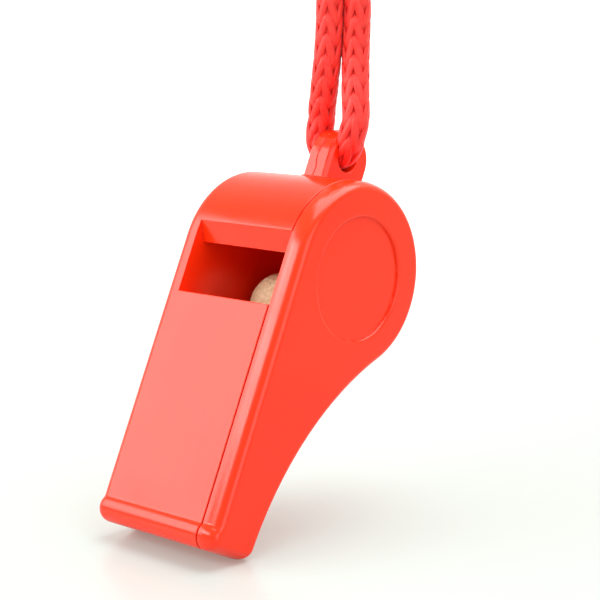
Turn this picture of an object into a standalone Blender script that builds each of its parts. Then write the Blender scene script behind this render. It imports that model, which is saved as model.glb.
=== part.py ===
"""Training whistle with a side cover, a cork pea and a cord loop through its ear.

Metres, +Z up. The origin is the inner top of the cord loop, where it is held. The whistle hangs below
it and its mouthpiece points down and towards -Y. The width of the whistle runs along X, and the side
with the separate cover faces +X. Shapes of the moulding are drawn in the side plane as (a, b):
a runs from the barrel's axis towards the mouthpiece, b from the axis towards the window's side.
"""

import math

import bmesh
import bpy
import numpy as np
from mathutils import Vector

MM = 0.001

# Whistle, in millimetres until scaled
BARREL_R = 12.5 * MM
CHAMBER_R = 10.6 * MM
HALF_WIDTH = 10.6 * MM
EDGE_R = 1.7 * MM
SEAM_X = 7.8 * MM
GAP = 0.3 * MM
FAR_WALL_X = -8.2 * MM
TILT = math.radians(25.3)
LENGTH_TO_TIP = 39.0 * MM
UNDER_R = 43.2 * MM
UNDER_ANGLE = math.radians(-44.3)
TIP_CORNER_R = 1.9 * MM
BEAD_R = 1.9 * MM
BEAD_FLANK_R = 0.8 * MM
BEAD_SLOPE = math.radians(32)
DISC_R = 8.05 * MM
DISC_SINK = 0.45 * MM
DISC_CENTER = (0.29 * MM, 0.31 * MM)
SPIGOT_DEPTH = 0.9 * MM

# Window and windway, as points (a, b)
LABIUM_TIP = (0.6 * MM, 10.78 * MM)
RAMP_TOP = (-4.55 * MM, 14.0 * MM)
WINDOW_FOOT = 7.9 * MM
WINDWAY = ((3.0, 9.55), (40.0, 7.5), (40.0, 10.1), (7.0, 11.1), (5.0, 11.0))
WINDWAY_X = -7.4 * MM

# Lug, pea and lanyard
LUG_A, LUG_B = -15.8 * MM, -0.5 * MM
LUG_R = 4.1 * MM
LUG_HOLE = (-16.1 * MM, 0.05 * MM)
LUG_HOLE_R = 1.95 * MM
LUG_FAR_X, LUG_NEAR_X = -1.7 * MM, 2.5 * MM
LUG_ROOT = 11.3 * MM
PEA_R = 4.8 * MM
PEA_X = -2.85 * MM
PEA_ORBIT = CHAMBER_R - PEA_R - GAP
CORD_R = 1.5 * MM
CORD_CLEAR = 0.15 * MM
LOOP_R = 7.0 * MM
LOOP_CENTER = 50.0 * MM
PAIR_TURN = 41.8

# The barrel's centre in the world, which puts the origin under the top of the cord loop
BARREL = Vector((-0.6 * MM, -7.9 * MM, CORD_R - LOOP_CENTER - LOOP_R))


def clear_scene():
    for obj in list(bpy.data.objects):
        bpy.data.objects.remove(obj, do_unlink=True)


def new_collection(name, hidden):
    made = bpy.data.collections.new(name)
    bpy.context.scene.collection.children.link(made)
    made.hide_render = hidden
    return made


def material(name, color, roughness):
    made = bpy.data.materials.new(name)
    made.use_nodes = True
    shader = made.node_tree.nodes["Principled BSDF"]
    shader.inputs["Base Color"].default_value = (*color, 1.0)
    shader.inputs["Roughness"].default_value = roughness
    return made


def side_point(x, a, b):
    """The world point of (a, b) in the side plane at x."""
    y = -a * math.sin(TILT) - b * math.cos(TILT)
    z = -a * math.cos(TILT) + b * math.sin(TILT)
    return BARREL + Vector((x, y, z))


def arc(center, radius, start, end, count):
    """Points along an arc, its last one left to the next piece."""
    return [
        (
            center[0] + radius * math.cos(start + (end - start) * i / count),
            center[1] + radius * math.sin(start + (end - start) * i / count),
        )
        for i in range(count)
    ]


def outline(inset):
    """The side outline of the whistle, counter-clockwise, moved inwards by inset."""
    start = math.radians(90)
    under_end = math.radians(360) + UNDER_ANGLE
    reach = BARREL_R + UNDER_R
    under = (reach * math.cos(UNDER_ANGLE), reach * math.sin(UNDER_ANGLE))
    foot_a = LENGTH_TO_TIP - TIP_CORNER_R
    foot_b = under[1] + math.sqrt((UNDER_R + TIP_CORNER_R) ** 2 - (foot_a - under[0]) ** 2)
    foot_angle = math.atan2(foot_b - under[1], foot_a - under[0])
    both = BEAD_R + BEAD_FLANK_R
    bead = (LENGTH_TO_TIP - BEAD_R, BARREL_R + BEAD_FLANK_R - both * math.cos(BEAD_SLOPE))
    flank = (bead[0] - both * math.sin(BEAD_SLOPE), BARREL_R + BEAD_FLANK_R)
    points = arc((0.0, 0.0), BARREL_R - inset, start, under_end, 60)
    points += arc(under, UNDER_R + inset, math.pi + UNDER_ANGLE, foot_angle, 22)
    points += arc((foot_a, foot_b), TIP_CORNER_R - inset, foot_angle - math.pi, 0.0, 8)
    points += arc(bead, BEAD_R - inset, 0.0, math.pi / 2 + BEAD_SLOPE, 10)
    points += arc(flank, BEAD_FLANK_R + inset, 1.5 * math.pi + BEAD_SLOPE, 1.5 * math.pi, 4)
    points += [(flank[0], BARREL_R - inset)]
    return points


def rounded_stations(flat_x, outer_x, steps):
    """(x, inset) from the flat side to the outer side, whose edge is rounded by EDGE_R."""
    way = 1.0 if outer_x > flat_x else -1.0
    stations = [(flat_x, 0.0)]
    for i in range(steps + 1):
        turn = 0.5 * math.pi * i / steps
        x = outer_x - way * EDGE_R * (1.0 - math.sin(turn))
        stations.append((x, EDGE_R * (1.0 - math.cos(turn))))
    return stations


def add_object(name, mesh, collection, mat):
    obj = bpy.data.objects.new(name, mesh)
    collection.objects.link(obj)
    if mat:
        mesh.materials.append(mat)
    return obj


def mesh_from(name, build):
    bm = bmesh.new()
    build(bm)
    bmesh.ops.recalc_face_normals(bm, faces=bm.faces)
    mesh = bpy.data.meshes.new(name)
    bm.to_mesh(mesh)
    bm.free()
    return mesh


def loft(bm, loops):
    """A closed solid through loops of equally many points."""
    rings = [[bm.verts.new(p) for p in loop] for loop in loops]
    count = len(rings[0])
    for low, high in zip(rings, rings[1:]):
        for i in range(count):
            j = (i + 1) % count
            bm.faces.new((low[i], low[j], high[j], high[i]))
    bm.faces.new(list(reversed(rings[0])))
    bm.faces.new(rings[-1])


def lofted_side(name, stations, origin):
    loops = [[side_point(x, a, b) - origin for a, b in outline(inset)] for x, inset in stations]
    return mesh_from(name, lambda bm: loft(bm, loops))


def prism(name, points, x0, x1, origin):
    """A straight solid along X over the side-plane points."""
    loops = [[side_point(x, a, b) - origin for a, b in points] for x in (x0, x1)]
    return mesh_from(name, lambda bm: loft(bm, loops))


def ring_points(radius, count, a=0.0, b=0.0):
    return arc((a, b), radius, 0.0, 2.0 * math.pi, count)


def cutter(name, mesh, collection, origin):
    obj = add_object(name, mesh, collection, None)
    obj.location = origin
    obj.hide_render = True
    obj.display_type = "WIRE"
    return obj


def boolean(obj, name, other, operation):
    mod = obj.modifiers.new(name, "BOOLEAN")
    mod.operation = operation
    mod.solver = "EXACT"
    mod.object = other


def smooth(obj, degrees=35.0):
    obj.data.set_sharp_from_angle(angle=math.radians(degrees))


def lug_outline(inset):
    points = arc((LUG_A, LUG_B), LUG_R - inset, math.pi / 2, 1.5 * math.pi, 28)
    return points + [
        (LUG_A, LUG_B - LUG_R + inset),
        (-LUG_ROOT, LUG_B - LUG_R + inset),
        (-LUG_ROOT, LUG_B + LUG_R - inset),
    ]


def lug_mesh(origin):
    chamfer = 0.55 * MM
    stations = [(LUG_FAR_X, chamfer), (LUG_FAR_X + chamfer, 0.0)]
    stations += [(LUG_NEAR_X - chamfer, 0.0), (LUG_NEAR_X, chamfer)]
    loops = [[side_point(x, a, b) - origin for a, b in lug_outline(i)] for x, i in stations]
    return mesh_from("lug", lambda bm: loft(bm, loops))


def window_points():
    return [
        (LABIUM_TIP[0], 7.0 * MM),
        (WINDOW_FOOT, 7.0 * MM),
        (WINDOW_FOOT, 14.0 * MM),
        RAMP_TOP,
        LABIUM_TIP,
    ]


def make_body(parts, helpers, mat, origin):
    stations = rounded_stations(SEAM_X - GAP / 2, -HALF_WIDTH, 7)
    body = add_object("whistle_body", lofted_side("whistle_body", stations, origin), parts, mat)
    body.location = origin
    lug = cutter("lug_blank", lug_mesh(origin), helpers, origin)
    boolean(body, "lug", lug, "UNION")
    hole = prism("hole", ring_points(LUG_HOLE_R, 32, *LUG_HOLE), -5 * MM, 5 * MM, origin)
    boolean(body, "lug hole", cutter("hole_cutter", hole, helpers, origin), "DIFFERENCE")
    room = prism("room", ring_points(CHAMBER_R, 90), FAR_WALL_X, 20 * MM, origin)
    boolean(body, "chamber", cutter("chamber_cutter", room, helpers, origin), "DIFFERENCE")
    window = prism("window", window_points(), FAR_WALL_X, 20 * MM, origin)
    boolean(body, "window", cutter("window_cutter", window, helpers, origin), "DIFFERENCE")
    slot = [(a * MM, b * MM) for a, b in WINDWAY]
    way = prism("windway", slot, WINDWAY_X, 20 * MM, origin)
    boolean(body, "windway", cutter("windway_cutter", way, helpers, origin), "DIFFERENCE")
    smooth(body)
    return body


def spigot_mesh(origin):
    """The ring on the cover's inner face that sits inside the barrel, open at the window."""
    outer, inner = CHAMBER_R - GAP, CHAMBER_R - GAP - 1.0 * MM
    x0, x1 = SEAM_X + GAP / 2 - SPIGOT_DEPTH, SEAM_X + GAP / 2 + 0.6 * MM
    first, last = math.radians(100), math.radians(380)
    count = 64
    outside = arc((0, 0), outer, first, last, count) + arc((0, 0), outer, last, last + 1, 1)
    inside = arc((0, 0), inner, last, first, count) + arc((0, 0), inner, first, first + 1, 1)
    return prism("spigot", outside + inside, x0, x1, origin)


def make_cover(parts, helpers, mat, origin):
    stations = rounded_stations(SEAM_X + GAP / 2, HALF_WIDTH, 7)
    cover = add_object("side_cover", lofted_side("side_cover", stations, origin), parts, mat)
    cover.location = origin
    spigot = cutter("spigot_blank", spigot_mesh(origin), helpers, origin)
    boolean(cover, "spigot", spigot, "UNION")
    # The round recess, whose mouth is rounded by a radius just short of its depth
    mouth = 0.4 * MM
    levels = [(HALF_WIDTH - DISC_SINK, DISC_R)]
    for i in range(4):
        turn = 0.5 * math.pi * i / 4
        deep, wide = mouth * (1.0 - math.sin(turn)), mouth * (1.0 - math.cos(turn))
        levels.append((HALF_WIDTH - deep, DISC_R + wide))
    levels.append((HALF_WIDTH + mouth, DISC_R + 1.2 * mouth))
    loops = [
        [side_point(x, a, b) - origin for a, b in ring_points(r, 96, *DISC_CENTER)]
        for x, r in levels
    ]
    disc = cutter("disc_cutter", mesh_from("disc", lambda bm: loft(bm, loops)), helpers, origin)
    boolean(cover, "disc", disc, "DIFFERENCE")
    smooth(cover)
    return cover


def make_pea(parts, mat):
    def build(bm):
        bmesh.ops.create_icosphere(bm, subdivisions=4, radius=PEA_R)
        bmesh.ops.translate(bm, verts=bm.verts, vec=(PEA_X, 0.0, -PEA_ORBIT))

    pea = add_object("cork_pea", mesh_from("cork_pea", build), parts, mat)
    pea.location = BARREL
    smooth(pea, 60.0)
    return pea


def half_route():
    """One leg of the cord from the ear upwards: height over the barrel's axis, distance from the
    cord's middle line and turn of the pair about the vertical, in mm and degrees."""
    return [
        (17.6, 3.75, 0.0),
        (18.6, 3.70, 1.0),
        (19.6, 3.43, 4.0),
        (21.0, 3.00, 9.0),
        (23.0, 2.55, 16.0),
        (25.0, 2.22, 24.5),
        (27.5, 1.95, 34.0),
        (30.0, 1.82, 39.5),
        (33.0, 1.80, PAIR_TURN),
        (37.0, 1.90, PAIR_TURN),
        (40.0, 2.75, PAIR_TURN),
        (43.0, 4.50, PAIR_TURN),
        (46.5, 6.30, PAIR_TURN),
    ]


def middle_line(height):
    """Where the pair of legs stands at this height, in mm from the barrel's centre."""
    share = min(max((height - 15.0) / 21.0, 0.0), 1.0)
    share = share * share * (3.0 - 2.0 * share)
    return 0.4 + 0.2 * share, 6.84 + 1.06 * share


def pair_point(height, half, turn):
    x, y = middle_line(height)
    turn = math.radians(turn)
    return (x + half * math.cos(turn), y + half * math.sin(turn), height)


def leg_points(side):
    return [pair_point(height, side * half, turn) for height, half, turn in half_route()]


def loop_points():
    """The round top of the cord loop, from its right side over to its left side."""
    points = []
    for i in range(9):
        turn = math.pi * i / 8
        height = (LOOP_CENTER + LOOP_R * math.sin(turn)) / MM
        points.append(pair_point(height, LOOP_R * math.cos(turn) / MM, PAIR_TURN))
    return points


def bend_points(side):
    """The bend under the ear's bar, from the middle of the hole to the leg."""
    hole = side_point(0.0, *LUG_HOLE) - BARREL
    corner_x = (LUG_NEAR_X if side > 0 else -LUG_FAR_X) / MM
    corner_z = hole.z / MM + LUG_HOLE_R / MM
    radius = (CORD_R + CORD_CLEAR) / MM
    points = [(side * corner_x * 0.5, hole.y / MM, corner_z - radius)]
    for i in range(7):
        turn = 0.5 * math.pi * i / 6
        x = corner_x + radius * math.sin(turn)
        points.append((side * x, hole.y / MM, corner_z - radius * math.cos(turn)))
    return points


def smooth_path(points, per_span):
    """A Catmull-Rom curve through the points."""
    pts = np.array(points, float)
    ends = np.vstack([2 * pts[0] - pts[1], pts, 2 * pts[-1] - pts[-2]])
    out = []
    for i in range(1, len(ends) - 2):
        p0, p1, p2, p3 = ends[i - 1 : i + 3]
        for k in range(per_span):
            t = k / per_span
            out.append(
                0.5
                * (
                    2 * p1
                    + (p2 - p0) * t
                    + (2 * p0 - 5 * p1 + 4 * p2 - p3) * t * t
                    + (3 * p1 - p0 - 3 * p2 + p3) * t**3
                )
            )
    out.append(ends[-2])
    return np.array(out)


def lanyard_route():
    """The closed route: right leg, loop, left leg and the bend through the ear."""
    legs = leg_points(1.0) + loop_points() + leg_points(-1.0)[::-1]
    return np.vstack([smooth_path(legs, 2), bend_points(-1.0)[::-1], bend_points(1.0)])


def make_cord(parts, mat):
    route = lanyard_route() * MM
    curve = bpy.data.curves.new("lanyard_cord", "CURVE")
    curve.dimensions = "3D"
    curve.bevel_depth = CORD_R
    curve.bevel_resolution = 2
    spline = curve.splines.new("POLY")
    spline.points.add(len(route) - 1)
    for point, place in zip(spline.points, route):
        point.co = (*place, 1.0)
    spline.use_cyclic_u = True
    obj = bpy.data.objects.new("lanyard_cord", curve)
    parts.objects.link(obj)
    curve.materials.append(mat)
    obj.location = BARREL
    return obj


def main():
    clear_scene()
    parts = new_collection("training_whistle", False)
    helpers = new_collection("helpers", True)
    hole = side_point(0.0, *LUG_HOLE)
    pivot = Vector((BARREL.x, hole.y, hole.z + LUG_HOLE_R - CORD_R - CORD_CLEAR))
    red = material("red_plastic", (0.78, 0.045, 0.02), 0.22)
    cover_red = material("red_plastic_cover", (0.78, 0.045, 0.02), 0.22)
    cork = material("cork", (0.55, 0.33, 0.16), 0.85)
    braid = material("red_cord", (0.62, 0.02, 0.015), 0.7)
    make_body(parts, helpers, red, pivot)
    make_cover(parts, helpers, cover_red, pivot)
    make_pea(parts, cork)
    make_cord(parts, braid)


main()
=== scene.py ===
"""Training whistle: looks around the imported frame. Metres, +Z up.

The whistle hangs by its ear from a braided cord loop whose inner top is the origin. Shapes of the
moulding are drawn in its side plane as (a, b): a runs from the barrel's axis towards the
mouthpiece, b from the axis towards the side with the window.
"""

import math

import bmesh
import bpy
import numpy as np
from mathutils import Matrix, Vector, noise


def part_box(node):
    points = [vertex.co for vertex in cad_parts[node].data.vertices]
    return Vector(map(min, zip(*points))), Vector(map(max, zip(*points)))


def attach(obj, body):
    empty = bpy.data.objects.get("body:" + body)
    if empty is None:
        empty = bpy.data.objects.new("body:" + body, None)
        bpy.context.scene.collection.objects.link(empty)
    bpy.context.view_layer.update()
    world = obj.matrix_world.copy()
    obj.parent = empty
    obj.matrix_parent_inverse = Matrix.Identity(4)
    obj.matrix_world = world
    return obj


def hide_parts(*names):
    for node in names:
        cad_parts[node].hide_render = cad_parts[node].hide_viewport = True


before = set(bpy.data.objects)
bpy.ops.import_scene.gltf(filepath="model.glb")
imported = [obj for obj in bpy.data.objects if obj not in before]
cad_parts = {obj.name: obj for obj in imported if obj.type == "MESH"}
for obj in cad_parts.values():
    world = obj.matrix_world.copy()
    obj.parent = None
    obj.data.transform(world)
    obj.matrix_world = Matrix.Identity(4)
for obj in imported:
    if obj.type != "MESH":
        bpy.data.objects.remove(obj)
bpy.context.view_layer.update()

MM = 0.001

# The camera, which looks at the barrel's axis from the front right and slightly above
CAMERA_TURN = math.radians(-48.18)
CAMERA_RISE = math.radians(9.99)
CAMERA_PLACE = (145.90, -163.19, 34.45)
CAMERA_LENS = 99.8

# Moulding
BARREL_R = 12.5 * MM
CHAMBER_R = 10.6 * MM
HALF_WIDTH = 10.6 * MM
CUT_FAR_X = 20.0 * MM
SEAM_X = 7.8 * MM
SEAM_GAP = 0.08 * MM
FAR_WALL_X = -8.2 * MM
FAR_EDGE_R = 1.75 * MM
FAR_X = -10.8 * MM
COVER_EDGE_X = 2.4 * MM
COVER_EDGE_R = 1.35 * MM
TILT = math.radians(25.3)
LENGTH_TO_TIP = 39.0 * MM
UNDER_R = 43.2 * MM
UNDER_ANGLE = math.radians(-44.3)
TIP_CORNER_R = 1.9 * MM
BEAD_R = 1.9 * MM
BEAD_FLANK_R = 0.8 * MM
BEAD_SLOPE = math.radians(32)
DISC_R = 8.05 * MM
DISC_SINK = 0.45 * MM
DISC_CENTER = (0.29 * MM, 0.31 * MM)
# Window and windway corners, in plain millimetres
LABIUM_TIP = (0.6, 10.78)
RAMP_CREST = (-1.94, 12.35)
WINDOW_FOOT = 7.9
WINDWAY = ((3.0, 9.55), (40.0, 7.5), (40.0, 10.1), (7.0, 11.1), (5.0, 11.0))
WINDWAY_X = -7.4 * MM
LUG_A, LUG_B = -15.8 * MM, -0.5 * MM
LUG_R = 4.1 * MM
LUG_HOLE = (-16.1 * MM, 0.05 * MM)
LUG_HOLE_R = 1.95 * MM
LUG_FAR_X, LUG_NEAR_X = -1.7 * MM, 2.4 * MM
LUG_CHAMFER = 0.5 * MM
LUG_ROOT = 11.0 * MM
LUG_DRAFT = 0.07 * MM
LUG_SOFT = 0.07 * MM
LUG_FILLET = 0.16 * MM
LUG_EDGE_R = 0.22 * MM
SPIGOT_CLEAR = 0.3 * MM
SPIGOT_THICK = 1.0 * MM
SPIGOT_HALF_X = 0.75 * MM
SPIGOT_ARC = (math.radians(100), math.radians(380))
DISC_MOUTH_R = 0.40 * MM
DISC_FOOT_R = 0.04 * MM
SHARP_ANGLE = 32.0
PEA_R = 4.8 * MM
PEA_PLACE = (-2.85, 0.0, -5.5)

# Cord
LOOP_CENTER = 50.0 * MM
LOOP_R = 7.0 * MM
PAIR_TURN = 41.8
CARRIERS = 12
BRAID_PITCH = 2.68 * MM
BRAID_LEAN = math.radians(-11.0)
STRAND_TOP_R = 1.58 * MM
STRAND_LOW_R = 1.17 * MM
STRAND_HALF_WIDTH = 0.53 * MM
STRAND_HALF_THICK = 0.26 * MM
CORE_R = 1.45 * MM
# How high the core counts in the painted shade of low-lying yarns
CORE_LIFT = 0.7
STRAND_SIDES = 8
CORE_SIDES = 12
CORE_LANE = 30
PATH_STEP = 0.3 * MM
LEG_MIDDLE = 27.0 * MM
LEG_TOP = 40.0 * MM
BEND_SQUASH = 0.42

# Floor, in metres from the whistle, and its sweep behind
FLOOR_REACH = 4.0
SWEEP_START = -0.5
SWEEP_R = 0.35
SWEEP_TOP = 1.3
PALE_FROM, PALE_TO = 0.12, 0.45

# Lights: name, turn and rise of the way to it, distance, width and height in degrees, radiance
LIGHTS = (
    ("key", -106.0, 31.0, 0.5, 34.0, 15.0, 10.0),
    ("side", -140.0, 24.0, 0.5, 35.0, 33.0, 5.0),
    ("overhead", 60.0, 74.0, 0.5, 50.0, 58.0, 5.0),
    ("strip", -16.0, 14.0, 0.6, 36.0, 44.0, 2.2),
)
SURROUND = 0.6

# The middle of the barrel in the world
BARREL = Vector((-0.6 * MM, -7.9 * MM, -55.5 * MM))


def side_point(x, a, b):
    """The world point of (a, b) in the side plane at x."""
    y = -a * math.sin(TILT) - b * math.cos(TILT)
    z = -a * math.cos(TILT) + b * math.sin(TILT)
    return BARREL + Vector((x, y, z))


def arc(center, radius, start, end, count):
    """Points along an arc, its last one left to the next piece."""
    turns = [start + (end - start) * i / count for i in range(count)]
    return [(center[0] + radius * math.cos(t), center[1] + radius * math.sin(t)) for t in turns]


# ---------------------------------------------------------------- camera


def make_camera():
    data = bpy.data.cameras.new("camera")
    data.lens = CAMERA_LENS
    data.sensor_width = 36.0
    data.clip_start = 0.01
    camera = bpy.data.objects.new("camera", data)
    bpy.context.scene.collection.objects.link(camera)
    flat = math.cos(CAMERA_RISE)
    back = Vector(
        (flat * math.cos(CAMERA_TURN), flat * math.sin(CAMERA_TURN), math.sin(CAMERA_RISE))
    )
    right = Vector((-math.sin(CAMERA_TURN), math.cos(CAMERA_TURN), 0.0))
    up = back.cross(right)
    place = BARREL + Vector(CAMERA_PLACE) * MM
    camera.matrix_world = Matrix(
        (
            (right.x, up.x, back.x, place.x),
            (right.y, up.y, back.y, place.y),
            (right.z, up.z, back.z, place.z),
            (0.0, 0.0, 0.0, 1.0),
        )
    )
    bpy.context.scene.camera = camera
    return back


TO_CAMERA = make_camera()


# ---------------------------------------------------------------- mesh helpers


def mesh_object(name, mesh, mat):
    obj = bpy.data.objects.new(name, mesh)
    bpy.context.scene.collection.objects.link(obj)
    mesh.materials.append(mat)
    return obj


def mesh_from(name, build):
    bm = bmesh.new()
    build(bm)
    bmesh.ops.recalc_face_normals(bm, faces=bm.faces)
    mesh = bpy.data.meshes.new(name)
    bm.to_mesh(mesh)
    bm.free()
    return mesh


def loft(bm, loops):
    """A closed solid through loops of equally many points."""
    rings = [[bm.verts.new(p) for p in loop] for loop in loops]
    count = len(rings[0])
    for low, high in zip(rings, rings[1:]):
        for i in range(count):
            j = (i + 1) % count
            bm.faces.new((low[i], low[j], high[j], high[i]))
    bm.faces.new(list(reversed(rings[0])))
    bm.faces.new(rings[-1])


def lofted(name, loops):
    return mesh_from(name, lambda bm: loft(bm, loops))


def prism(name, points, x0, x1):
    return lofted(name, [[side_point(x, a, b) for a, b in points] for x in (x0, x1)])


def combine(obj, steps):
    """Runs the Booleans in order and keeps the result as the object's own mesh."""
    others = []
    for operation, mesh in steps:
        other = bpy.data.objects.new("tool", mesh)
        bpy.context.scene.collection.objects.link(other)
        others.append(other)
        mod = obj.modifiers.new("boolean", "BOOLEAN")
        mod.operation = operation
        mod.solver = "EXACT"
        mod.object = other
    graph = bpy.context.evaluated_depsgraph_get()
    made = bpy.data.meshes.new_from_object(obj.evaluated_get(graph))
    old = obj.data
    obj.modifiers.clear()
    obj.data = made
    made.name = obj.name
    bpy.data.meshes.remove(old)
    for other in others:
        mesh = other.data
        bpy.data.objects.remove(other)
        bpy.data.meshes.remove(mesh)


def shade(obj, degrees):
    """Smooth shading, sharp over the angle, with each face weighted by its size."""
    obj.data.polygons.foreach_set("use_smooth", [True] * len(obj.data.polygons))
    obj.data.set_sharp_from_angle(angle=math.radians(degrees))
    mod = obj.modifiers.new("weighted", "WEIGHTED_NORMAL")
    mod.keep_sharp = True
    mod.weight = 60


def rounded(points, radii, steps=5):
    """The closed polygon with each corner that has a radius turned into an arc."""
    out = []
    count = len(points)
    for i, (corner, radius) in enumerate(zip(points, radii)):
        here = Vector(corner)
        if not radius:
            out.append(tuple(here))
            continue
        before = (Vector(points[i - 1]) - here).normalized()
        after = (Vector(points[(i + 1) % count]) - here).normalized()
        half = 0.5 * before.angle(after)
        reach = radius / math.tan(half)
        middle = here + (before + after).normalized() * radius / math.sin(half)
        first = here + before * reach - middle
        last = here + after * reach - middle
        turn = first.angle_signed(last)
        for k in range(steps + 1):
            share = -turn * k / steps
            c, s = math.cos(share), math.sin(share)
            out.append(
                (
                    middle.x + first.x * c - first.y * s,
                    middle.y + first.x * s + first.y * c,
                )
            )
    return out


# ---------------------------------------------------------------- cord


def leg_stations():
    """One leg of the cord from the ear upwards: height over the barrel's axis, distance from the
    pair's middle line and turn of the pair about the vertical, in mm and degrees."""
    return [
        (19.6, 3.12, -3.0),
        (21.0, 2.88, 2.0),
        (23.0, 2.45, 10.0),
        (25.0, 2.12, 22.0),
        (27.5, 1.90, 33.0),
        (30.0, 1.82, 39.5),
        (33.0, 1.80, PAIR_TURN),
        (37.0, 1.90, PAIR_TURN),
        (40.0, 2.75, PAIR_TURN),
        (43.0, 4.50, PAIR_TURN),
        (46.5, 6.30, PAIR_TURN),
    ]


def pair_point(height, half, turn):
    """A point of one leg. The middle line of the pair starts over the ear's hole and ends under
    the middle of the loop."""
    share = min(max((height - 15.0) / 21.0, 0.0), 1.0)
    share = share * share * (3.0 - 2.0 * share)
    turn = math.radians(turn)
    x = 0.55 + 0.05 * share + half * math.cos(turn)
    y = 6.84 + 1.06 * share + half * math.sin(turn)
    return (x, y, height)


def bend_stations(side):
    """From the middle of the ear's hole out of it and up beside the ear, in mm from the barrel's
    middle."""
    if side > 0:
        turn = ((0.05, 6.84, 14.70), (0.9, 6.84, 14.75), (1.75, 6.76, 15.05), (2.5, 6.62, 15.65))
        return list(turn) + [(3.08, 6.46, 16.55), (3.42, 6.42, 17.6), (3.6, 6.56, 18.6)]
    turn = ((-0.05, 6.84, 14.70), (-0.7, 6.84, 14.72), (-1.4, 6.88, 14.9), (-2.1, 6.94, 15.3))
    return list(turn) + [(-2.68, 7.0, 16.1), (-2.9, 7.05, 17.2), (-2.78, 7.1, 18.4)]


def smooth_path(points, per_span):
    """A Catmull-Rom curve through the points."""
    pts = np.array(points, float)
    ends = np.vstack([2 * pts[0] - pts[1], pts, 2 * pts[-1] - pts[-2]])
    out = []
    for i in range(1, len(ends) - 2):
        p0, p1, p2, p3 = ends[i - 1 : i + 3]
        for k in range(per_span):
            t = k / per_span
            out.append(
                0.5
                * (
                    2 * p1
                    + (p2 - p0) * t
                    + (2 * p0 - 5 * p1 + 4 * p2 - p3) * t * t
                    + (3 * p1 - p0 - 3 * p2 + p3) * t**3
                )
            )
    out.append(ends[-2])
    return np.array(out)


def evenly(path, step):
    """The path at even steps, with its length."""
    run = np.concatenate([[0.0], np.cumsum(np.linalg.norm(np.diff(path, axis=0), axis=1))])
    places = np.linspace(0.0, run[-1], int(round(run[-1] / step)) + 1)
    return np.stack([np.interp(places, run, path[:, i]) for i in range(3)], axis=1), run[-1]


def softened(path, rounds):
    """The path with its small kinks averaged out, its ends kept."""
    path = path.copy()
    for _ in range(rounds):
        path[1:-1] = 0.25 * path[:-2] + 0.5 * path[1:-1] + 0.25 * path[2:]
    return path


def cord_route():
    """The cord's middle line from the ear up, over the loop and back, with its length."""
    right = bend_stations(1.0) + [pair_point(*station) for station in leg_stations()]
    left = bend_stations(-1.0) + [pair_point(h, -half, t) for h, half, t in leg_stations()]
    top = []
    for i in range(9):
        turn = math.pi * i / 8
        height = (LOOP_CENTER + LOOP_R * math.sin(turn)) / MM
        top.append(pair_point(height, LOOP_R * math.cos(turn) / MM, PAIR_TURN))
    route = smooth_path(right + top + left[::-1], 12) * MM + np.array(BARREL)
    route, length = evenly(softened(evenly(route, 0.5 * PATH_STEP)[0], 20), PATH_STEP)
    return route, length


def unit(vectors):
    return vectors / np.linalg.norm(vectors, axis=-1, keepdims=True)


def transported(path, tangents, start, reference):
    """A frame vector carried along the path without twist, from one index both ways."""
    frames = np.zeros_like(path)
    first = reference - tangents[start] * reference.dot(tangents[start])
    frames[start] = first / np.linalg.norm(first)
    for order in (range(start + 1, len(path)), range(start - 1, -1, -1)):
        last = frames[start]
        for i in order:
            last = last - tangents[i] * last.dot(tangents[i])
            last = last / np.linalg.norm(last)
            frames[i] = last
    return frames


def turned(vectors, axes, angles):
    c, s = np.cos(angles)[:, None], np.sin(angles)[:, None]
    return vectors * c + np.cross(axes, vectors) * s


def braid_frames(path):
    """Unit vectors across the cord. The braid's ridge lines face the viewer on both legs, and the
    difference between the legs is turned out over the loop."""
    tangents = unit(np.gradient(path, axis=0))
    heights = path[:, 2] - BARREL.z
    top = int(np.argmax(heights))
    up_leg = int(np.argmin(np.abs(heights[:top] - LEG_MIDDLE)))
    down_leg = top + int(np.argmin(np.abs(heights[top:] - LEG_MIDDLE)))
    view = np.array(TO_CAMERA)
    frames = transported(path, tangents, up_leg, view)
    wanted = view - tangents[down_leg] * view.dot(tangents[down_leg])
    wanted = wanted / np.linalg.norm(wanted)
    across = np.cross(tangents[down_leg], frames[down_leg])
    off = math.atan2(wanted.dot(across), wanted.dot(frames[down_leg])) - math.pi / 4
    off = (off - 2.0 * BRAID_LEAN + math.pi / 4) % (math.pi / 2) - math.pi / 4
    first = int(np.argmax(heights > LEG_TOP))
    last = len(path) - 1 - int(np.argmax(heights[::-1] > LEG_TOP))
    share = np.clip((np.arange(len(path)) - first) / (last - first), 0.0, 1.0)
    return tangents, turned(frames, tangents, BRAID_LEAN + off * share)


def cord_section(path, tangents, frames, angles, radii):
    """Points at these angles and radii about the path, and the ways out to them. Inside a tight
    bend they stay clear of its centre, as a soft cord flattens there."""
    sides = np.cross(tangents, frames)
    out = frames * np.cos(angles)[:, None] + sides * np.sin(angles)[:, None]
    step = np.linalg.norm(np.diff(path, axis=0), axis=1).mean()
    bend = softened(np.gradient(tangents, step, axis=0), 3)
    inward = np.clip((bend * out).sum(axis=1), 0.0, None) * radii
    return path + out * (radii / (1.0 + BEND_SQUASH * inward))[:, None], out


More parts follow.
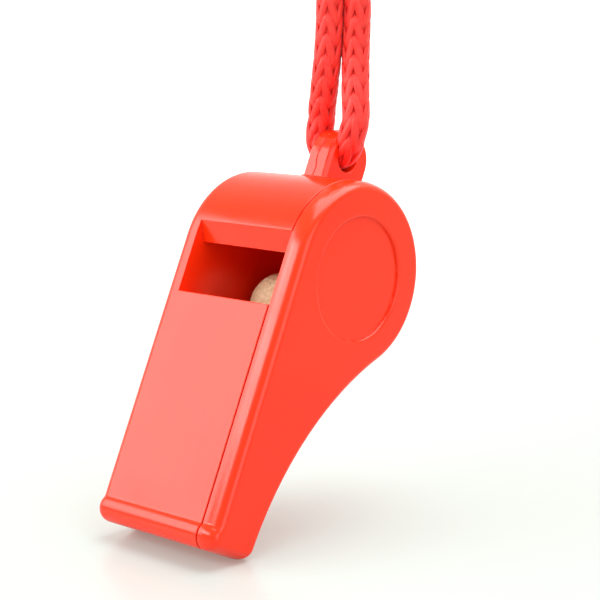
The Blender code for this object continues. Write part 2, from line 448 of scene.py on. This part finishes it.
def braid_strand(path, tangents, frames, step, phase, way):
    """One yarn: it climbs round the cord and goes over and under by turns, four times each in a
    full turn."""
    run = np.arange(len(path)) * step
    angles = phase + way * run * 2.0 * math.pi / CARRIERS / BRAID_PITCH
    over = np.clip(0.5 - 1.15 * way * np.sin(4.0 * angles), 0.0, 1.0)
    over = over * over * (3.0 - 2.0 * over)
    crown = 0.05 * MM * np.clip(-way * np.sin(4.0 * angles), 0.0, 1.0)
    radii = STRAND_LOW_R + (STRAND_TOP_R - STRAND_LOW_R) * over + crown
    middle, out = cord_section(path, tangents, frames, angles, radii)
    along = unit(np.gradient(middle, axis=0))
    out = unit(out - along * (out * along).sum(axis=1)[:, None])
    return middle, out, np.cross(along, out), over


def make_cord(mat):
    """Two sets of yarns that wind opposite ways round a core."""
    path, length = cord_route()
    tangents, frames = braid_frames(path)
    step = length / (len(path) - 1)
    bm = bmesh.new()
    uv = bm.loops.layers.uv.new("yarn")
    lift = bm.verts.layers.float.new("lift")

    def tube(middle, out, across, half, lifts, lane, count):
        half_out, half_across = half
        rings = []
        for i in range(len(middle)):
            ring = []
            for k in range(count):
                turn = 2.0 * math.pi * k / count
                c, s = math.cos(turn), math.sin(turn)
                # A slightly squared oval, so that neighbouring yarns close up
                swell = 1.0 + 0.10 * (math.sin(2.0 * turn) ** 2)
                at = middle[i] + out[i] * c * half_out * swell + across[i] * s * half_across * swell
                vert = bm.verts.new(at)
                vert[lift] = lifts[i]
                ring.append(vert)
            rings.append(ring)
        for i, (low, high) in enumerate(zip(rings, rings[1:])):
            for k in range(count):
                j = (k + 1) % count
                face = bm.faces.new((low[k], low[j], high[j], high[k]))
                face.smooth = True
                marks = ((i, k), (i, k + 1), (i + 1, k + 1), (i + 1, k))
                for loop, (row, column) in zip(face.loops, marks):
                    loop[uv].uv = (row * step / MM * 0.1, lane + column / count)
        bm.faces.new(list(reversed(rings[0])))
        bm.faces.new(rings[-1])

    for way in (1.0, -1.0):
        for carrier in range(CARRIERS):
            phase = 2.0 * math.pi * (carrier + (0.25 if way > 0 else 0.75)) / CARRIERS
            middle, out, across, over = braid_strand(path, tangents, frames, step, phase, way)
            lane = carrier * 2 + (0 if way > 0 else 1)
            half = (STRAND_HALF_THICK, STRAND_HALF_WIDTH)
            tube(middle, out, across, half, over, lane, STRAND_SIDES)
    core_across = np.cross(tangents, frames)
    core_lifts = np.full(len(path), CORE_LIFT)
    tube(path, frames, core_across, (CORE_R, CORE_R), core_lifts, CORE_LANE, CORE_SIDES)
    bmesh.ops.recalc_face_normals(bm, faces=bm.faces)
    mesh = bpy.data.meshes.new("braided_cord")
    bm.to_mesh(mesh)
    bm.free()
    cord = mesh_object("braided_cord", mesh, mat)
    return cord, path, length


# ---------------------------------------------------------------- materials


class Nodes:
    """Short calls for building a node tree."""

    def __init__(self, name):
        self.material = bpy.data.materials.new(name)
        self.material.use_nodes = True
        self.tree = self.material.node_tree
        self.shader = self.tree.nodes["Principled BSDF"]

    def add(self, kind, inputs=None, **settings):
        node = self.tree.nodes.new(kind)
        for key, value in settings.items():
            setattr(node, key, value)
        for key, value in (inputs or {}).items():
            if isinstance(value, bpy.types.NodeSocket):
                self.tree.links.new(value, node.inputs[key])
            else:
                node.inputs[key].default_value = value
        return node

    def link(self, out, socket):
        self.tree.links.new(out, socket)

    def noise(self, vector, scale, detail=2.0, rough=0.5):
        node = self.add(
            "ShaderNodeTexNoise",
            {"Vector": vector, "Scale": scale, "Detail": detail, "Roughness": rough},
        )
        return node.outputs["Fac"]

    def ramp(self, value, low, high, out_low, out_high):
        node = self.add(
            "ShaderNodeMapRange",
            {
                "Value": value,
                "From Min": low,
                "From Max": high,
                "To Min": out_low,
                "To Max": out_high,
            },
        )
        return node.outputs["Result"]

    def mix(self, share, first, second, blend="MIX"):
        node = self.add("ShaderNodeMix", data_type="RGBA", blend_type=blend)
        for socket, value in ((0, share), (6, first), (7, second)):
            if isinstance(value, bpy.types.NodeSocket):
                self.link(value, node.inputs[socket])
            else:
                node.inputs[socket].default_value = value
        return node.outputs[2]

    def math(self, operation, first, second):
        node = self.add("ShaderNodeMath", operation=operation)
        for index, value in enumerate((first, second)):
            if isinstance(value, bpy.types.NodeSocket):
                self.link(value, node.inputs[index])
            else:
                node.inputs[index].default_value = value
        return node.outputs[0]

    def bump(self, height, strength, distance, normal=None):
        inputs = {"Height": height, "Strength": strength, "Distance": distance}
        if normal:
            inputs["Normal"] = normal
        return self.add("ShaderNodeBump", inputs).outputs["Normal"]

    def set(self, **values):
        for key, value in values.items():
            self.shader.inputs[key.replace("_", " ")].default_value = value


def plastic(name, shift):
    """Glossy injection-moulded red plastic: faint flow in the colour, orange-peel gloss, fine
    handling scratches, slightly paler rubbed edges and painted shade in the crevices."""
    n = Nodes(name)
    place = n.add("ShaderNodeTexCoord").outputs["Object"]
    moved = n.add("ShaderNodeMapping", {"Vector": place, "Location": shift}).outputs[0]
    flow = n.add(
        "ShaderNodeMapping", {"Vector": moved, "Scale": (1.0, 0.35, 0.35)}
    ).outputs[0]
    cloud = n.noise(flow, 90.0, 3.0, 0.55)
    color = n.mix(
        n.ramp(cloud, 0.3, 0.7, 0.0, 1.0), (0.88, 0.022, 0.002, 1.0), (0.94, 0.031, 0.003, 1.0)
    )
    rounded_normal = n.add("ShaderNodeBevel", {"Radius": 0.25 * MM}, samples=4).outputs[0]
    flat_normal = n.add("ShaderNodeNewGeometry").outputs["Normal"]
    agree = n.add("ShaderNodeVectorMath", operation="DOT_PRODUCT")
    n.link(rounded_normal, agree.inputs[0])
    n.link(flat_normal, agree.inputs[1])
    edge = n.ramp(agree.outputs["Value"], 0.995, 0.90, 0.0, 1.0)
    patches = n.ramp(n.noise(moved, 420.0, 3.0, 0.6), 0.45, 0.62, 0.0, 1.0)
    wear = n.math("MULTIPLY", edge, patches)
    color = n.mix(n.math("MULTIPLY", wear, 0.35), color, (0.95, 0.16, 0.10, 1.0))
    # Painted shade: the colour is darkened where other surfaces come close, in the seam, corners
    # and hollows
    crevice = n.add("ShaderNodeAmbientOcclusion", {"Distance": 0.35 * MM}, samples=6).outputs["AO"]
    crevice_shade = n.ramp(crevice, 0.2, 0.85, 0.45, 0.0)
    color = n.mix(crevice_shade, color, (0.30, 0.008, 0.004, 1.0))
    n.link(color, n.shader.inputs["Base Color"])
    smudge = n.ramp(n.noise(moved, 160.0, 4.0, 0.6), 0.35, 0.75, 0.17, 0.27)
    rough = n.math("ADD", smudge, n.math("MULTIPLY", wear, 0.22))
    n.link(rough, n.shader.inputs["Roughness"])
    peel = n.bump(n.noise(moved, 900.0, 2.0, 0.5), 0.10, 0.02 * MM)
    sink = n.bump(n.noise(moved, 75.0, 1.0, 0.4), 0.35, 0.05 * MM, peel)
    hair = n.add("ShaderNodeMapping", {"Vector": moved, "Rotation": (0.5, 0.3, 0.2)}).outputs[0]
    hair = n.add("ShaderNodeMapping", {"Vector": hair, "Scale": (1.0, 0.04, 0.3)}).outputs[0]
    scratch = n.ramp(n.noise(hair, 5200.0, 2.0, 0.6), 0.66, 0.70, 0.0, 1.0)
    worn = n.bump(scratch, 0.12, -0.004 * MM, sink)
    n.link(worn, n.shader.inputs["Normal"])
    n.set(IOR=1.41)
    return n.material


def braid_material():
    """Polypropylene yarn: fine fibres along each yarn, fuzz, and painted shade where yarns dip
    under others and low between the yarns.
    """
    n = Nodes("red_braid")
    uv = n.add("ShaderNodeUVMap", uv_map="yarn").outputs[0]
    place = n.add("ShaderNodeTexCoord").outputs["Object"]
    fibre = n.add("ShaderNodeMapping", {"Vector": uv, "Scale": (1.4, 9.0, 1.0)}).outputs[0]
    fibres = n.noise(fibre, 3.0, 4.0, 0.65)
    coarse = n.add("ShaderNodeMapping", {"Vector": uv, "Scale": (0.5, 3.0, 1.0)}).outputs[0]
    bundles = n.noise(coarse, 2.0, 2.0, 0.5)
    spots = n.noise(place, 1500.0, 2.0, 0.6)
    lift = n.add("ShaderNodeAttribute", attribute_name="lift").outputs["Fac"]
    tone = n.math("ADD", n.math("MULTIPLY", fibres, 0.6), n.math("MULTIPLY", spots, 0.4))
    color = n.mix(
        n.ramp(tone, 0.36, 0.64, 0.0, 1.0), (0.70, 0.008, 0.004, 1.0), (0.94, 0.034, 0.018, 1.0)
    )
    # Painted shade: yarns darken where they dip under the crossing yarns, and the core a little
    color = n.mix(n.ramp(lift, 0.0, 0.9, 0.55, 0.0), color, (0.62, 0.004, 0.002, 1.0))
    # Painted shade: darker where other yarns and the core are close, low between the yarns
    groove = n.add("ShaderNodeAmbientOcclusion", {"Distance": 0.7 * MM}, samples=6).outputs["AO"]
    color = n.mix(n.ramp(groove, 0.25, 0.85, 0.75, 0.0), color, (0.66, 0.002, 0.001, 1.0))
    n.link(color, n.shader.inputs["Base Color"])
    n.link(n.ramp(fibres, 0.3, 0.7, 0.62, 0.42), n.shader.inputs["Roughness"])
    low = n.bump(bundles, 0.7, 0.12 * MM)
    high = n.bump(fibres, 0.8, 0.06 * MM, low)
    n.link(high, n.shader.inputs["Normal"])
    n.set(Sheen_Weight=0.12, Sheen_Roughness=0.4)
    return n.material


def cork_material():
    """Agglomerated cork: granules of several browns with darker binder and small pits."""
    n = Nodes("cork")
    place = n.add("ShaderNodeTexCoord").outputs["Object"]
    grain = n.add(
        "ShaderNodeTexVoronoi", {"Vector": place, "Scale": 1150.0, "Randomness": 1.0}
    )
    tones = n.add("ShaderNodeSeparateColor", {0: grain.outputs["Color"]})
    color = n.mix(
        n.ramp(tones.outputs[0], 0.0, 1.0, 0.0, 1.0),
        (0.80, 0.65, 0.35, 1.0),
        (0.96, 0.88, 0.58, 1.0),
    )
    fine = n.noise(place, 3200.0, 4.0, 0.65)
    color = n.mix(n.ramp(fine, 0.42, 0.68, 0.0, 0.4), color, (0.70, 0.53, 0.28, 1.0))
    rim = n.add(
        "ShaderNodeTexVoronoi",
        {"Vector": place, "Scale": 1150.0, "Randomness": 1.0},
        feature="DISTANCE_TO_EDGE",
    )
    binder = n.ramp(rim.outputs["Distance"], 0.0, 0.07, 0.35, 0.0)
    color = n.mix(binder, color, (0.50, 0.31, 0.15, 1.0))
    n.link(color, n.shader.inputs["Base Color"])
    n.link(n.ramp(fine, 0.3, 0.7, 0.7, 0.95), n.shader.inputs["Roughness"])
    low = n.bump(rim.outputs["Distance"], 0.35, 0.05 * MM)
    n.link(n.bump(fine, 0.5, 0.05 * MM, low), n.shader.inputs["Normal"])
    return n.material


# ---------------------------------------------------------------- moulding


def outline(inset):
    """The side outline of the whistle, counter-clockwise, moved inwards by inset."""
    under_end = math.radians(360) + UNDER_ANGLE
    reach = BARREL_R + UNDER_R
    under = (reach * math.cos(UNDER_ANGLE), reach * math.sin(UNDER_ANGLE))
    foot_a = LENGTH_TO_TIP - TIP_CORNER_R
    foot_b = under[1] + math.sqrt((UNDER_R + TIP_CORNER_R) ** 2 - (foot_a - under[0]) ** 2)
    foot_angle = math.atan2(foot_b - under[1], foot_a - under[0])
    both = BEAD_R + BEAD_FLANK_R
    bead = (LENGTH_TO_TIP - BEAD_R, BARREL_R + BEAD_FLANK_R - both * math.cos(BEAD_SLOPE))
    flank = (bead[0] - both * math.sin(BEAD_SLOPE), BARREL_R + BEAD_FLANK_R)
    points = arc((0.0, 0.0), BARREL_R - inset, math.pi / 2, under_end, 120)
    points += arc(under, UNDER_R + inset, math.pi + UNDER_ANGLE, foot_angle, 48)
    points += arc((foot_a, foot_b), TIP_CORNER_R - inset, foot_angle - math.pi, 0.0, 14)
    points += arc(bead, BEAD_R - inset, 0.0, math.pi / 2 + BEAD_SLOPE, 20)
    points += arc(flank, BEAD_FLANK_R + inset, 1.5 * math.pi + BEAD_SLOPE, 1.5 * math.pi, 8)
    points += [(flank[0], BARREL_R - inset)]
    return points


def edge_stations(way, outer, length, depth, steps=12):
    """(x, inset) over the rounded edge, which runs length along X and depth inwards."""
    out = []
    for i in range(steps + 1):
        turn = 0.5 * math.pi * i / steps
        out.append((outer - way * length * (1.0 - math.sin(turn)), depth * (1.0 - math.cos(turn))))
    return out


def seam_stations(x, way):
    """(x, inset) over the small broken edge beside the seam, away from it."""
    return [(x, 0.12 * MM), (x + way * 0.03 * MM, 0.05 * MM), (x + way * 0.10 * MM, 0.0)]


def window_cutter():
    """The window between the labium's ramp and the foot edge, whose outer edges are rounded."""
    points = [
        (LABIUM_TIP[0], 7.0),
        (WINDOW_FOOT, 7.0),
        (WINDOW_FOOT, 12.5),
        (WINDOW_FOOT + 0.22, 12.502),
        (WINDOW_FOOT + 1.0, 14.5),
        (-6.0, 14.5),
        (-2.75, 12.205),
        RAMP_CREST,
        LABIUM_TIP,
    ]
    radii = [0, 0, 0.14, 0, 0, 0, 0, 0.4, 0]
    return [(a * MM, b * MM) for a, b in rounded(points, radii)]


def lug_outline(inset):
    """The ear's outline in the side plane: out from the barrel, round its end and back."""
    points = [
        (-LUG_ROOT + (LUG_A + LUG_ROOT) * i / 12, LUG_B + LUG_R - inset) for i in range(12)
    ]
    points += arc((LUG_A, LUG_B), LUG_R - inset, math.pi / 2, 1.5 * math.pi, 56)
    points += [
        (LUG_A - (LUG_A + LUG_ROOT) * i / 12, LUG_B - LUG_R + inset) for i in range(13)
    ]
    return points


def lug_loops():
    """The ear's tab through X: flat chamfers, a rim with draft and its wavy parting line."""
    draft, soft = LUG_DRAFT, LUG_SOFT
    middle = 0.5 * (LUG_FAR_X + LUG_NEAR_X)
    # (x, inset, share of the waviness)
    far = [
        (LUG_FAR_X, LUG_CHAMFER + draft + soft, 0.0),
        (LUG_FAR_X + 0.3 * soft, LUG_CHAMFER + draft, 0.0),
        (LUG_FAR_X + LUG_CHAMFER - 0.3 * soft, draft + soft, 0.0),
        (LUG_FAR_X + LUG_CHAMFER + soft, draft, 0.0),
        (middle - 0.16 * MM, 0.01 * MM, 1.0),
        (middle - 0.06 * MM, -0.03 * MM, 1.0),
    ]
    near = [
        (middle + 0.01 * MM, 0.10 * MM, 1.0),
        (middle + 0.12 * MM, 0.02 * MM, 1.0),
        (LUG_NEAR_X - LUG_CHAMFER - 1.2 * soft, draft, 0.0),
        (LUG_NEAR_X - LUG_CHAMFER - 0.5 * soft, draft + 1.5 * soft, 0.0),
        (LUG_NEAR_X - LUG_CHAMFER + 0.3 * soft, draft + soft, 0.0),
        (LUG_NEAR_X - 0.3 * soft, LUG_CHAMFER + draft, 0.0),
        (LUG_NEAR_X, LUG_CHAMFER + draft + soft, 0.0),
    ]
    loops = []
    for x, inset, wave in far + near:
        loop = []
        for k, (a, b) in enumerate(lug_outline(inset)):
            drift = 0.15 * math.sin(0.42 * k) + 0.08 * math.sin(1.13 * k + 1.0)
            loop.append(side_point(x + wave * drift * MM, a, b))
        loops.append(loop)
    return loops


def apron_loops():
    """The fillet between the ear and the barrel, as sections at rising height over the barrel."""
    fillet = LUG_FILLET
    loops = []
    for step in range(9):
        if step == 0:
            height, spread = -0.5 * MM, fillet
        else:
            turn = 0.5 * math.pi * (step - 1) / 7
            height = fillet * (1.0 - math.cos(turn)) - 0.012 * MM
            spread = fillet * (1.0 - math.sin(turn)) - 0.03 * MM
        corner = 0.30 * MM + max(spread, 0.0)
        middle = 0.5 * (LUG_FAR_X + LUG_NEAR_X)
        half_x = 0.5 * (LUG_NEAR_X - LUG_FAR_X) + spread
        half_b = LUG_R + spread
        loop = []
        for sx, sb, start in ((1, 1, 0.0), (-1, 1, 0.5), (-1, -1, 1.0), (1, -1, 1.5)):
            for k in range(7):
                turn = math.pi * (start + 0.5 * k / 6)
                x = middle + sx * (half_x - corner) + corner * math.cos(turn)
                b = LUG_B + sb * (half_b - corner) + corner * math.sin(turn)
                a = -math.sqrt((BARREL_R + height) ** 2 - b * b)
                loop.append(side_point(x, a, b))
        loops.append(loop)
    return loops


def hole_loops():
    """The ear's hole with a rounded mouth on both faces."""
    edge = LUG_EDGE_R
    near = [(LUG_NEAR_X + 1.5 * MM, edge)]
    far = [(LUG_FAR_X - 1.5 * MM, edge)]
    for i in range(5):
        turn = 0.5 * math.pi * i / 4
        deep, widen = edge * (1.0 - math.cos(turn)), edge * (1.0 - math.sin(turn))
        near.append((LUG_NEAR_X + 0.01 * MM - deep, widen))
        far.append((LUG_FAR_X - 0.01 * MM + deep, widen))
    return [
        [
            side_point(x, a, b)
            for a, b in arc(LUG_HOLE, LUG_HOLE_R + widen, 0.0, 2.0 * math.pi, 56)
        ]
        for x, widen in far + near[::-1]
    ]


def make_body(mat):
    """The main moulding with the ear on it, hollowed from the seam inwards."""
    stations = seam_stations(SEAM_X - SEAM_GAP, -1.0)
    stations += edge_stations(-1.0, FAR_X, FAR_EDGE_R, FAR_EDGE_R)
    loops = [[side_point(x, a, b) for a, b in outline(inset)] for x, inset in stations]
    body = mesh_object("whistle_moulding", lofted("whistle_moulding", loops), mat)
    ring = arc((0, 0), CHAMBER_R, 0.0, 2.0 * math.pi, 160)
    slot = [(a * MM, b * MM) for a, b in WINDWAY]
    combine(
        body,
        [
            ("UNION", lofted("lug", lug_loops())),
            ("UNION", lofted("apron", apron_loops())),
            ("DIFFERENCE", lofted("hole", hole_loops())),
            ("DIFFERENCE", prism("room", ring, FAR_WALL_X, CUT_FAR_X)),
            ("DIFFERENCE", prism("window", window_cutter(), FAR_WALL_X, CUT_FAR_X)),
            ("DIFFERENCE", prism("windway", slot, WINDWAY_X, CUT_FAR_X)),
        ],
    )
    shade(body, SHARP_ANGLE)
    return body


def disc_loops():
    """The round recess: a rounded mouth, a short wall and a small fillet at its foot."""
    mouth, foot = DISC_MOUTH_R, DISC_FOOT_R
    levels = [(HALF_WIDTH + 0.5 * MM, DISC_R + mouth + 0.02 * MM)]
    for i in range(7):
        turn = 0.5 * math.pi * i / 6
        deep = mouth * (1.0 - math.cos(turn)) - 0.003 * MM
        levels.append((HALF_WIDTH - deep, DISC_R + mouth * (1.0 - math.sin(turn))))
    floor_x = HALF_WIDTH - DISC_SINK
    for i in range(5):
        turn = 0.5 * math.pi * i / 4
        rise, inset = foot * (1.0 - math.sin(turn)), foot * (1.0 - math.cos(turn))
        levels.append((floor_x + rise, DISC_R - inset))
    return [
        [side_point(x, a, b) for a, b in arc(DISC_CENTER, r, 0.0, 2.0 * math.pi, 144)]
        for x, r in levels
    ]


def spigot_points():
    """The ring on the cover's inner face that sits inside the barrel, open at the window."""
    outer = CHAMBER_R - SPIGOT_CLEAR
    inner = outer - SPIGOT_THICK
    first, last = SPIGOT_ARC
    outside = arc((0, 0), outer, first, last, 90) + arc((0, 0), outer, last, last + 1, 1)
    inside = arc((0, 0), inner, last, first, 90) + arc((0, 0), inner, first, first + 1, 1)
    return outside + inside


def make_cover(mat):
    """The near side wall, with its rounded edge, inner ring and outer recess."""
    stations = seam_stations(SEAM_X + SEAM_GAP, 1.0)
    stations += edge_stations(1.0, HALF_WIDTH, COVER_EDGE_X, COVER_EDGE_R, 16)
    loops = [[side_point(x, a, b) for a, b in outline(inset)] for x, inset in stations]
    cover = mesh_object("cover_plate", lofted("cover_plate", loops), mat)
    spigot = prism("spigot", spigot_points(), SEAM_X - SPIGOT_HALF_X, SEAM_X + SPIGOT_HALF_X)
    combine(
        cover,
        [
            ("UNION", spigot),
            ("DIFFERENCE", lofted("disc", disc_loops())),
        ],
    )
    shade(cover, SHARP_ANGLE)
    return cover


# ---------------------------------------------------------------- pea


def make_pea(mat):
    """A cork ball whose granules stand out a little and whose surface has small pits."""

    def build(bm):
        bmesh.ops.create_icosphere(bm, subdivisions=7, radius=1.0)
        for vert in bm.verts:
            way = vert.co.normalized()
            near = noise.voronoi(way * 6.0 + Vector((3.1, 7.7, 1.3)), distance_metric="DISTANCE")[0]
            grain = min(near[1] - near[0], 0.25) / 0.25
            soft = noise.fractal(way * 9.0, 1.0, 2.0, 4)
            pit = max(0.0, noise.noise(way * 13.0 + Vector((9.0, 2.0, 5.0))) - 0.33)
            rise = 0.07 * grain + 0.05 * soft - 0.55 * pit - 0.10
            vert.co = way * (PEA_R + min(rise, 0.0) * MM)

    mesh = mesh_from("cork_ball", build)
    mesh.polygons.foreach_set("use_smooth", [True] * len(mesh.polygons))
    pea = mesh_object("cork_ball", mesh, mat)
    pea.location = BARREL + Vector(PEA_PLACE) * MM
    return pea


# ---------------------------------------------------------------- stage and light


def make_floor(height):
    """A pale floor that sweeps up behind the whistle."""
    back = Vector((TO_CAMERA.x, TO_CAMERA.y, 0.0)).normalized()
    side = Vector((-back.y, back.x, 0.0))
    profile = [(FLOOR_REACH, 0.0), (SWEEP_START, 0.0)]
    for i in range(1, 17):
        turn = 0.5 * math.pi * i / 16
        forward, up = SWEEP_START - SWEEP_R * math.sin(turn), SWEEP_R * (1.0 - math.cos(turn))
        profile.append((forward, up))
    profile.append((SWEEP_START - SWEEP_R, SWEEP_TOP))
    bm = bmesh.new()
    rows = []
    for forward, up in profile:
        row = []
        for across in (-FLOOR_REACH, 0.0, FLOOR_REACH):
            place = BARREL + back * forward + side * across
            row.append(bm.verts.new((place.x, place.y, height + up)))
        rows.append(row)
    for low, high in zip(rows, rows[1:]):
        for i in range(2):
            face = bm.faces.new((low[i], low[i + 1], high[i + 1], high[i]))
            face.smooth = True
    bmesh.ops.recalc_face_normals(bm, faces=bm.faces)
    mesh = bpy.data.meshes.new("floor")
    bm.to_mesh(mesh)
    bm.free()
    n = Nodes("floor")
    place = n.add("ShaderNodeTexCoord").outputs["Object"]
    cloud = n.noise(place, 3.0, 2.0, 0.5)
    near = n.mix(
        n.ramp(cloud, 0.3, 0.7, 0.0, 1.0), (0.275, 0.34, 0.325, 1), (0.295, 0.36, 0.345, 1)
    )
    # Paler towards the sweep behind
    forward = n.add("ShaderNodeVectorMath", {0: place, 1: back}, operation="DOT_PRODUCT")
    start = back.dot(BARREL)
    far = n.ramp(forward.outputs["Value"], start - PALE_FROM, start - PALE_TO, 0.0, 1.0)
    n.link(n.mix(far, near, (0.96, 0.96, 0.955, 1.0)), n.shader.inputs["Base Color"])
    n.set(Roughness=0.3, IOR=1.42)
    # Painted light: the floor glows faintly warm, which lightens its shadows and stands in for the
    # red light the whistle throws back onto it
    n.shader.inputs["Emission Color"].default_value = (1.0, 0.82, 0.72, 1.0)
    n.set(Emission_Strength=0.26)
    floor = mesh_object("floor", mesh, n.material)
    return floor


def area_light(name, turn, rise, distance, wide, high, radiance):
    """A soft box towards this turn and rise, as wide and high as these angles in degrees."""
    data = bpy.data.lights.new(name, "AREA")
    data.shape = "RECTANGLE"
    data.size = 2.0 * distance * math.tan(math.radians(0.5 * wide))
    data.size_y = 2.0 * distance * math.tan(math.radians(0.5 * high))
    data.energy = math.pi * data.size * data.size_y * radiance
    lamp = bpy.data.objects.new(name, data)
    bpy.context.scene.collection.objects.link(lamp)
    turn, rise = math.radians(turn), math.radians(rise)
    flat = math.cos(rise)
    way = Vector((flat * math.cos(turn), flat * math.sin(turn), math.sin(rise)))
    lamp.location = BARREL + way * distance
    lamp.rotation_euler = way.to_track_quat("Z", "Y").to_euler()
    lamp.visible_camera = False


def make_light():
    """An even white surround and soft boxes."""
    world = bpy.data.worlds.new("studio")
    bpy.context.scene.world = world
    world.use_nodes = True
    background = world.node_tree.nodes["Background"]
    background.inputs["Color"].default_value = (1.0, 1.0, 1.0, 1.0)
    background.inputs["Strength"].default_value = SURROUND
    for light in LIGHTS:
        area_light(*light)
    view = bpy.context.scene.view_settings
    view.view_transform = "Standard"
    view.look = "None"


# ---------------------------------------------------------------- build

cord, cord_path, cord_length = make_cord(braid_material())
body = make_body(plastic("red_plastic_moulding", (0.0, 0.0, 0.0)))
cover = make_cover(plastic("red_plastic_plate", (0.13, 0.05, 0.21)))
pea = make_pea(cork_material())
floor = make_floor(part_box("whistle_body")[0].z)
make_light()

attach(cord, "lanyard")
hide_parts("lanyard_cord")
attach(body, "whistle")
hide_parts("whistle_body")
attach(cover, "whistle")
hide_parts("side_cover")
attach(pea, "pea")
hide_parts("cork_pea")
